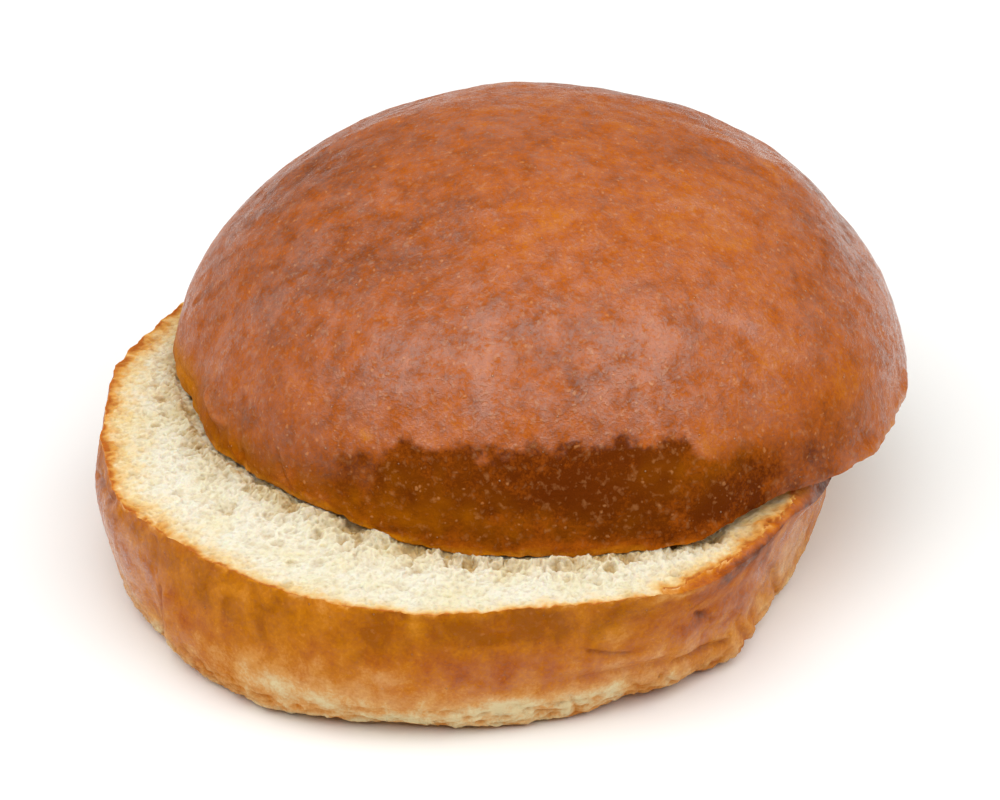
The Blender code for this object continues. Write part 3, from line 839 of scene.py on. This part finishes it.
class BUN_OT_crown(bpy.types.Operator):
    """Add the crown, the glazed and domed top half of the bun, with its cut face down"""

    bl_idname = "bun.crown"
    bl_label = "Crown"

    def execute(self, context):
        mesh = even_copy(
            "crown",
            lambda face: face.normal.z < -0.7
            and face.calc_center_median().z < (CROWN_FOOT + 4.0) * MM,
        )
        divide(
            mesh,
            lambda face, centre: face.material_index == CRUST and centre.y < CROWN_MIDDLE[1],
        )
        points, normals = points_of(mesh), normals_of(mesh)
        rim = distance_from_rim(mesh, points)
        is_crumb, is_crust = corners_with(mesh, CRUMB), corners_with(mesh, CRUST)
        inner, skin = is_crumb & ~is_crust, is_crust & ~is_crumb
        side = unrolled(points, CROWN_FOOT, CROWN_MIDDLE)
        high = side[:, 1]
        angles = turns_from(points, 0.0, CROWN_MIDDLE)
        plan = points[:, :2] - CROWN_MIDDLE
        upper = blend_step(10.0, 18.0, high)

        relief = lines_relief(side, CROWN_SIDE_LINES, on_side) * (1.0 - upper)
        relief += (lines_relief(plan, CROWN_TOP_LINES) + patches(plan, CROWN_SWELLINGS)) * upper
        relief += noise_at(points, 5.0, 41.0, 3) * 0.13
        relief += noise_at(points, 1.3, 45.0, 2) * 0.025
        stretched = (points - (*CROWN_MIDDLE, 0.0)) / (4.0, 1.0, 1.0)
        wrinkled = bump(plan[:, 0] - 26.0, 22.0) * bump(plan[:, 1] - 2.0, 14.0)
        relief += noise_at(stretched, 1.7, 43.0, 2) * 0.12 * wrinkled
        relief *= blend_step(0.0, 1.0, rim)

        moved = points + normals * np.where(skin, relief, 0.0)[:, None]
        # The crumb of the cut face, with its painted shade between the tufts
        crumb_push, pore = np.zeros(len(points)), np.zeros(len(points))
        crumb_push[inner], pore[inner] = crumb_relief(points[inner], rim[inner], 0.0, 47.0)
        moved[:, 2] -= np.where(inner, np.minimum(crumb_push, 0.1), 0.0)
        near = rim < RIM_BAND
        hold = bump(rim[near], RIM_HOLD)
        spoke = plan[near] / np.linalg.norm(plan[near], axis=1)[:, None]
        wander = noise_at(points[near], 3.0, 51.0, 2) * 0.4 + noise_at(points[near], 0.9, 52.0) * 0.15
        moved[near, :2] += spoke * (wander * hold)[:, None]
        moved[near, 2] += (np.abs(noise_at(points[near], 2.8, 53.0, 2)) * 0.3 - 0.2) * hold
        near_rim = bump(np.where(is_crust, high, rim), 3.2)
        moved[:, 2] += profile(angles, CROWN_LIFT) * near_rim
        move_points(mesh, moved)

        # The front's lower part is dull and darkest, up to a ragged edge that falls at its ends
        dented = bent(points, 2.4, 1.0, 71.0)
        side_spots = unrolled(dented, CROWN_FOOT, CROWN_MIDDLE)
        plan_spots = dented[:, :2] - CROWN_MIDDLE
        bake = np.full(len(points), 0.77) + 0.04 * noise_at(points, 18.0, 55.0, 2)
        bake += patches(side_spots, CROWN_SIDE_TONES, on_side) * (1.0 - upper)
        bake += patches(plan_spots, CROWN_TOP_TONES) * upper
        band = bump(high, 1.1 + 0.7 * noise_at(points, 2.4, 73.0, 2))
        ragged = high + 1.6 * noise_at(points, 4.5, 75.0, 2) + 0.8 * noise_at(points, 1.1, 77.0, 2)
        turn = np.abs(turns_from(points, DULL_FRONT, CROWN_MIDDLE)) + 5.0 * noise_at(points, 5.0, 79.0, 2)
        dull = 1.0 - blend_step(*DULL_REACH, turn)
        fading = 1.0 + 2.4 * blend_step(20.0, 40.0, turn)
        top = DULL_TOP - DULL_FALL * blend_step(14.0, 38.0, turn)
        dull *= 1.0 - blend_step(-fading, fading, ragged - top)
        bake += 0.21 * dull
        band *= 1.0 - 0.8 * bump(turns_from(points, -42.0, CROWN_MIDDLE), 24.0)
        bake -= (0.34 + 0.15 * dull) * band
        # Painted shade in the crown's creases, and painted light on its folds
        bake += 0.08 * np.clip(-relief, -1.0, 1.0)
        gold = patches(side_spots, CROWN_SIDE_GOLDS, on_side) * (1.0 - upper)
        gold *= 0.8 + 0.6 * noise_at(points, 2.4, 57.0, 2)
        gold += 0.7 * band
        facet = patches(side, CROWN_DULL_SPOTS, on_side) * (1.0 - upper)
        glaze = CROWN_GLAZE * (1.0 - np.clip(dull + facet, 0.0, 1.0))
        glaze += patches(plan, CROWN_GLAZES) * (1.0 - dull)
        toasted = toast(points, rim, context.scene.bun_crumb.toast_width / MM, 59.0)
        gold = np.clip(gold, 0.0, 1.0)
        keep_values(mesh, bake=bake, gold=gold, glaze=glaze, pore=pore, toast=toasted)
        add_piece("crown_bread", mesh, (glazed_crust(), soft_crumb()), "crown")
        return {"FINISHED"}


# Materials


def add_node(tree, kind, inputs=None, **settings):
    """Adds a shader node. Its inputs are values, or the sockets of other nodes to link from. Those
    of a Map Range are its value, from min, from max, to min and to max."""
    made = tree.nodes.new("ShaderNode" + kind)
    for name, value in settings.items():
        setattr(made, name, value)
    for socket, value in (inputs or {}).items():
        if isinstance(value, bpy.types.NodeSocket):
            tree.links.new(value, made.inputs[socket])
        else:
            made.inputs[socket].default_value = value
    return made


def fill_ramp(ramp, stops):
    """Gives a colour ramp its stops, each a position and a colour."""
    elements = ramp.color_ramp.elements
    while len(elements) < len(stops):
        elements.new(0.5)
    for element, (position, colour) in zip(elements, stops):
        element.position = position
        element.color = colour


def new_material(name):
    """A material with a Principled shader only. Returns it, its node tree and the shader."""
    material = bpy.data.materials.new(name)
    material.use_nodes = True
    tree = material.node_tree
    return material, tree, tree.nodes["Principled BSDF"]


def crust_surface(name, roughness, mottling, spots, upright):
    """The browned skin of the dough. How brown it is comes from the piece's bake values, broken up
    by broad clouds, by mottles a few millimetres wide, by the skin's grain and by small flecks, which
    are partly pale spots and partly painted glints. The glaze is a clear coat that lies thicker where
    the piece's glaze values say, and where it lies a pinkish painted sheen is mixed into the colour."""
    colours = bpy.context.scene.bun_crust
    material, tree, shader = new_material(name)
    place = add_node(tree, "TexCoord").outputs["Object"]
    bake, gold, glaze = (
        add_node(tree, "Attribute", attribute_name=painted).outputs["Fac"]
        for painted in ("bake", "gold", "glaze")
    )
    drawn = add_node(tree, "Mapping", {"Vector": place, "Scale": (1.0, 1.0, upright)}).outputs[0]
    textures = []
    for where, size, detail, rough, distortion in (
        (place, colours.cloud, 4.0, 0.5, 0.0),
        (drawn, colours.mottle, 5.0, 0.55, 0.4),
        (place, colours.grain, 3.0, 0.6, 0.0),
        (place, colours.blotch, 2.0, 0.5, 0.0),
        (place, colours.patch, 8.0, 0.78, 0.0),
    ):
        inputs = {"Vector": where, "Scale": 1.0 / size, "Detail": detail, "Roughness": rough}
        texture = add_node(tree, "TexNoise", {**inputs, "Distortion": distortion})
        textures.append(texture.outputs["Fac"])
    clouds, mottles, grain, islands, thick = textures
    warp = add_node(
        tree, "TexNoise", {"Vector": place, "Scale": 1.0 / (1.4 * MM), "Detail": 2.0}
    ).outputs["Color"]
    warped = add_node(
        tree,
        "VectorMath",
        {0: warp, 1: (1.0 * MM,) * 3, 2: place},
        operation="MULTIPLY_ADD",
    ).outputs[0]

    tone = bake
    strengths = ((clouds, 0.15), (mottles, mottling), (grain, 0.36))
    for texture, strength in strengths:
        tone = add_node(
            tree, "Math", {0: texture, 1: strength, 2: tone}, operation="MULTIPLY_ADD"
        ).outputs[0]
    middle = sum(strength for _, strength in strengths) / 2.0
    tone = add_node(tree, "Math", {0: tone, 1: middle}, operation="SUBTRACT").outputs[0]
    browned = add_node(tree, "ValToRGB", {"Fac": tone})
    baked = (colours.pale, colours.tan, colours.golden, colours.brown, colours.deep)
    fill_ramp(browned, tuple(zip((0.08, 0.30, 0.52, 0.74, 1.0), baked)))
    clear = add_node(tree, "ValToRGB", {"Fac": tone})
    fill_ramp(clear, ((0.38, colours.amber), (0.76, colours.olive)))
    patchy = add_node(tree, "MapRange", {0: mottles, 1: 0.38, 2: 0.58, 3: 0.65, 4: 1.0}).outputs[0]
    golden = add_node(tree, "Math", {0: gold, 1: patchy}, operation="MULTIPLY", use_clamp=True)
    skin = add_node(
        tree,
        "Mix",
        {0: golden.outputs[0], 6: browned.outputs["Color"], 7: clear.outputs["Color"]},
        data_type="RGBA",
    ).outputs[2]

    # Pale flecks and faint blotches; the small flecks are partly painted glints
    flecks = add_node(tree, "TexVoronoi", {"Vector": warped, "Scale": 1.0 / colours.fleck_gap})
    chance = add_node(tree, "Math", {0: flecks.outputs["Color"], 1: -0.5, 2: 0.44}, operation="MULTIPLY_ADD")
    reach = add_node(tree, "Math", {0: flecks.outputs["Distance"], 1: chance.outputs[0]}, operation="ADD")
    fleck_and_glint = add_node(tree, "MapRange", {0: reach.outputs[0], 1: 0.14, 2: 0.32, 3: spots, 4: 0.0}).outputs[0]
    blotch = add_node(tree, "MapRange", {0: islands, 1: 0.56, 2: 0.74, 3: 0.0, 4: 0.6 * spots}).outputs[0]
    pale = add_node(tree, "Math", {0: fleck_and_glint, 1: blotch}, operation="MAXIMUM").outputs[0]
    skin = add_node(tree, "Mix", {0: pale, 6: skin, 7: colours.fleck_and_glint}, data_type="RGBA").outputs[2]
    cells = add_node(tree, "TexVoronoi", {"Vector": place, "Scale": 1.0 / (2.6 * MM)}).outputs["Distance"]
    blisters = add_node(tree, "MapRange", {0: cells, 1: 0.03, 2: 0.07, 3: 1.0, 4: 0.0}).outputs[0]
    faint = add_node(tree, "Math", {0: blisters, 1: spots}, operation="MULTIPLY")
    skin = add_node(
        tree, "Mix", {0: faint.outputs[0], 6: skin, 7: colours.blister}, data_type="RGBA"
    ).outputs[2]

    height = grain
    for texture, strength in ((mottles, 1.0), (blisters, 1.2), (pale, 1.0)):
        height = add_node(
            tree, "Math", {0: texture, 1: strength, 2: height}, operation="MULTIPLY_ADD"
        ).outputs[0]
    relief = add_node(tree, "Bump", {"Height": height, "Strength": 1.0, "Distance": 0.15 * MM})
    grainy = add_node(tree, "Math", {0: grain, 1: 0.5, 2: thick}, operation="MULTIPLY_ADD").outputs[0]
    share = add_node(tree, "MapRange", {0: grainy, 1: 0.62, 2: 0.88, 3: 0.2, 4: 1.8}).outputs[0]
    coat = add_node(tree, "Math", {0: glaze, 1: share}, operation="MULTIPLY", use_clamp=True)
    # Painted sheen: where the coat lies, the colour is mixed towards a pinkish haze
    painted_sheen_share = add_node(tree, "Math", {0: coat.outputs[0], 1: 0.11}, operation="MULTIPLY").outputs[0]
    skin = add_node(tree, "Mix", {0: painted_sheen_share, 6: skin, 7: colours.painted_sheen}, data_type="RGBA").outputs[2]
    tree.links.new(skin, shader.inputs["Base Color"])
    tree.links.new(coat.outputs[0], shader.inputs["Coat Weight"])
    for socket in ("Normal", "Coat Normal"):
        tree.links.new(relief.outputs["Normal"], shader.inputs[socket])
    shader.inputs["Roughness"].default_value = roughness
    shader.inputs["Specular IOR Level"].default_value = 0.02
    shader.inputs["Coat Roughness"].default_value = 0.2
    return material


def glazed_crust():
    """Oven-baked dough under a brushed glaze: orange-brown, mottled from a few millimetres down to
    a fine grain, with pale flecks that are partly painted glints, pinpoint blisters, and a patchy
    satin shine from its coat, with a painted pinkish sheen in its colour."""
    return crust_surface("glazed baked crust", 0.5, 0.38, 0.34, 1.0)


def side_crust():
    """Dough that baked low on the tray: paler and more matt, going to raw cream at its foot, with
    patches of clear gold under the cut."""
    return crust_surface("tray-baked crust", 0.6, 0.72, 0.17, 0.85)


def soft_crumb():
    """Soft baked crumb, cut open: matt and cream, lit through by scattered light, toasted golden
    next to the crust, with pores from a quarter of a millimetre to two. Its pores, its holes and the
    crumb under the crown's rim are darkened with painted shade."""
    name = "cut soft crumb"
    if name in bpy.data.materials:
        return bpy.data.materials[name]
    colours = bpy.context.scene.bun_crumb
    material, tree, shader = new_material(name)
    place = add_node(tree, "TexCoord").outputs["Object"]
    toasted = add_node(tree, "Attribute", attribute_name="toast").outputs["Fac"]
    pore = add_node(tree, "Attribute", attribute_name="pore").outputs["Fac"]
    patch = add_node(
        tree, "TexNoise", {"Vector": place, "Scale": 1.0 / (5.5 * MM), "Detail": 3.0}
    ).outputs["Fac"]
    buttery = add_node(tree, "MapRange", {0: patch, 1: 0.42, 2: 0.72, 3: 0.0, 4: 1.0}).outputs[0]
    body = add_node(
        tree, "Mix", {0: buttery, 6: colours.cream, 7: colours.butter}, data_type="RGBA"
    ).outputs[2]
    # Painted shade: the pinholes and the piece's pore shade mix the crumb towards the shade colour
    fine = add_node(
        tree, "TexVoronoi", {"Vector": place, "Scale": 1.0 / (0.6 * MM)}
    ).outputs["Distance"]
    pinhole_shade = add_node(tree, "MapRange", {0: fine, 1: 0.12, 2: 0.42, 3: 0.16, 4: 0.0}).outputs[0]
    deep = add_node(tree, "Math", {0: pore, 1: 0.85, 2: pinhole_shade}, operation="MULTIPLY_ADD", use_clamp=True)
    body = add_node(
        tree, "Mix", {0: deep.outputs[0], 6: body, 7: colours.shade}, data_type="RGBA"
    ).outputs[2]
    ramp = add_node(tree, "ValToRGB", {"Fac": toasted})
    tints = ((1.0, 1.0, 1.0, 1.0), colours.blush, colours.toast, colours.edge)
    fill_ramp(ramp, tuple(zip((0.05, 0.34, 0.66, 0.86), tints)))
    body = add_node(
        tree, "Mix", {0: 1.0, 6: body, 7: ramp.outputs["Color"]}, data_type="RGBA", blend_type="MULTIPLY"
    ).outputs[2]
    fibres = add_node(
        tree,
        "TexNoise",
        {"Vector": place, "Scale": 1.0 / (0.45 * MM), "Detail": 5.0, "Roughness": 0.65, "Distortion": 1.0},
    ).outputs["Fac"]
    height = add_node(tree, "Math", {0: fine, 1: 0.8, 2: fibres}, operation="MULTIPLY_ADD").outputs[0]
    relief = add_node(tree, "Bump", {"Height": height, "Strength": 0.9, "Distance": 0.25 * MM})
    tree.links.new(body, shader.inputs["Base Color"])
    tree.links.new(relief.outputs["Normal"], shader.inputs["Normal"])
    shader.inputs["Roughness"].default_value = 0.9
    shader.inputs["Specular IOR Level"].default_value = 0.25
    shader.inputs["Subsurface Weight"].default_value = 0.8
    shader.inputs["Subsurface Radius"].default_value = (1.0, 0.75, 0.45)
    shader.inputs["Subsurface Scale"].default_value = 1.1 * MM
    return material


# The studio

CAMERA_ELEVATION = 31.47
CAMERA_DISTANCE = 489.74
CAMERA_TARGET = (3.7485, 0.0, 21.697)
CAMERA_LENS = 125.02
SENSOR_WIDTH = 36.0


def add_panel(name, azimuth, elevation, distance, width, height, radiance):
    """A soft light panel round the bun. Azimuth 0 is in front, 90 to the right. Lengths are in
    metres, and the radiance is what a white mirror would show of it."""
    turn, rise = math.radians(azimuth), math.radians(elevation)
    direction = Vector(
        (math.sin(turn) * math.cos(rise), -math.cos(turn) * math.cos(rise), math.sin(rise))
    )
    light = bpy.data.lights.new(name, "AREA")
    light.shape = "RECTANGLE"
    light.size, light.size_y = width, height
    light.energy = radiance * math.pi * width * height
    panel = bpy.data.objects.new(name, light)
    panel.location = direction * distance
    panel.rotation_euler = direction.to_track_quat("Z", "Y").to_euler()
    panel.visible_camera = False
    bpy.context.scene.collection.objects.link(panel)


class BUN_OT_stage(bpy.types.Operator):
    """Add the pale floor, the soft studio light and the camera"""

    bl_idname = "bun.stage"
    bl_label = "Stage"

    def execute(self, context):
        scene = context.scene
        settings = scene.bun_stage
        bm = bmesh.new()
        bmesh.ops.create_grid(bm, x_segments=1, y_segments=1, size=settings.floor_width / 2.0)
        mesh = bpy.data.meshes.new("floor")
        bm.to_mesh(mesh)
        bm.free()
        material, tree, shader = new_material("matt pale board")
        shader.inputs["Base Color"].default_value = settings.floor
        shader.inputs["Roughness"].default_value = 0.9
        shader.inputs["Specular IOR Level"].default_value = 0.1
        mesh.materials.append(material)
        floor = bpy.data.objects.new("floor", mesh)
        scene.collection.objects.link(floor)

        add_panel("overhead softbox", 0.0, 73.0, 0.8, 2.2, 1.0, settings.key)
        add_panel("left panel", -110.0, 25.0, 0.9, 1.0, 0.7, settings.fill)
        add_panel("right panel", 110.0, 25.0, 0.9, 1.0, 0.7, settings.fill)
        add_panel("back panel", 180.0, 25.0, 1.0, 1.4, 0.8, 0.45 * settings.fill)
        world = bpy.data.worlds.new("dim room")
        world.use_nodes = True
        room = world.node_tree.nodes["Background"]
        room.inputs["Color"].default_value = (1.0, 1.0, 1.0, 1.0)
        room.inputs["Strength"].default_value = settings.room
        scene.world = world

        rise = math.radians(CAMERA_ELEVATION)
        lens = bpy.data.cameras.new("camera")
        lens.lens = CAMERA_LENS
        lens.sensor_width = SENSOR_WIDTH
        lens.clip_start = 0.01
        lens.clip_end = 20.0
        camera = bpy.data.objects.new("camera", lens)
        away = Vector((0.0, -math.cos(rise), math.sin(rise))) * CAMERA_DISTANCE
        camera.location = (Vector(CAMERA_TARGET) + away) * MM
        camera.rotation_euler = (math.pi / 2.0 - rise, 0.0, 0.0)
        scene.collection.objects.link(camera)
        scene.camera = camera
        scene.view_settings.view_transform = "Standard"
        return {"FINISHED"}


class BUN_PT_sidebar(bpy.types.Panel):
    """The bun's pieces and settings, in the 3D view's sidebar"""

    bl_idname = "BUN_PT_sidebar"
    bl_label = "Sliced brioche bun"
    bl_space_type = "VIEW_3D"
    bl_region_type = "UI"
    bl_category = "Bun"

    def draw(self, context):
        for operator in OPERATORS:
            self.layout.operator(operator.bl_idname)
        for name in SETTINGS:
            group = getattr(context.scene, name)
            for setting in group.bl_rna.properties:
                if setting.identifier not in ("rna_type", "name"):
                    self.layout.prop(group, setting.identifier)


OPERATORS = (BUN_OT_heel, BUN_OT_crown, BUN_OT_stage)
SETTINGS = {
    "bun_crust": BunCrustSettings,
    "bun_crumb": BunCrumbSettings,
    "bun_stage": BunStageSettings,
}


def register():
    for kind in (*SETTINGS.values(), *OPERATORS, BUN_PT_sidebar):
        bpy.utils.register_class(kind)
    for name, group in SETTINGS.items():
        setattr(bpy.types.Scene, name, PointerProperty(type=group))


def unregister():
    for name in SETTINGS:
        delattr(bpy.types.Scene, name)
    for kind in (BUN_PT_sidebar, *OPERATORS, *SETTINGS.values()):
        bpy.utils.unregister_class(kind)


def main():
    register()
    bpy.ops.bun.heel()
    bpy.ops.bun.crown()
    bpy.ops.bun.stage()


if __name__ == "__main__":
    main()
